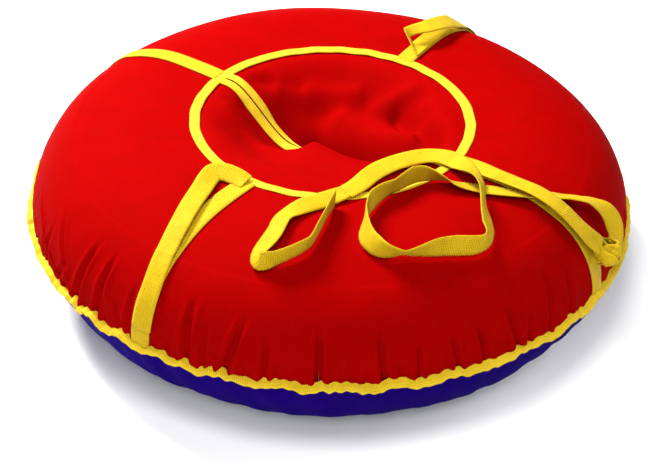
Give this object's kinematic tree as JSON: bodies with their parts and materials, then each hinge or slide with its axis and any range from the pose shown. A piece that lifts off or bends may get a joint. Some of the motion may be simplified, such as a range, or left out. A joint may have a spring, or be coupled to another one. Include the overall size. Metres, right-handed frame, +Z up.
{
  "type": "towable tube",
  "caption": "Round inflated tow tube in a sewn fabric cover with a sagging slit seat, radial load straps, side handles and a front tow strap with a hand loop.",
  "frame": {"origin": "on the ground at the middle of the tube", "axes": "+Z up, +X to the front where the tow strap is tied, +Y to the rider's left"},
  "size_m": [0.8201, 0.8112, 0.2588],
  "materials": {
    "red_fabric": "woven coated polyester, satin",
    "blue_fabric": "smooth coated fabric, satin",
    "yellow_webbing": "ribbed polypropylene webbing",
    "yellow_tape": "ribbed binding tape",
    "thread": "sewing thread",
    "tube_rubber": "butyl rubber",
    "valve_rubber": "moulded rubber",
    "valve_brass": "turned",
    "cap_plastic": "moulded, matt"
  },
  "bodies": {
    "tube_body": {"top_cover": "red_fabric", "seat_panel_left": "red_fabric", "seat_panel_right": "red_fabric", "bottom_cover": "blue_fabric", "seat_ring_binding": "yellow_tape", "slit_binding_left": "yellow_tape", "slit_binding_right": "yellow_tape", "rim_binding": "yellow_tape", "front_strap": "yellow_webbing", "left_strap": "yellow_webbing", "rear_strap": "yellow_webbing", "right_strap": "yellow_webbing", "bar_tacks": "thread", "tow_bridle": "yellow_webbing", "tow_knot": "yellow_webbing", "tow_strap": "yellow_webbing", "hand_loop": "yellow_webbing", "inner_tube": "tube_rubber", "valve_patch": "valve_rubber", "valve_stem": "valve_brass", "valve_core": "valve_brass"},
    "left_grip": {"left_handle": "yellow_webbing"},
    "right_grip": {"right_handle": "yellow_webbing"},
    "cap": {"valve_cap": "cap_plastic", "valve_cap_seal": "valve_rubber"}
  },
  "joints": [
    {"name": "left_handle_swing", "type": "hinge", "parent": "tube_body", "child": "left_grip", "pos_m": [0.00675, 0.19332, 0.22974], "axis": [0.0315, 0.9014, -0.4318], "range_deg": [-12, 10]},
    {"name": "right_handle_swing", "type": "hinge", "parent": "tube_body", "child": "right_grip", "pos_m": [-0.00675, -0.19332, 0.22974], "axis": [0.0315, 0.9014, 0.4318], "range_deg": [0, 15]},
    {"name": "valve_cap_turn", "type": "hinge", "parent": "tube_body", "child": "cap", "pos_m": [-0.078, 0, 0.1125], "axis": [1, 0, 0], "continuous": true}
  ]
}
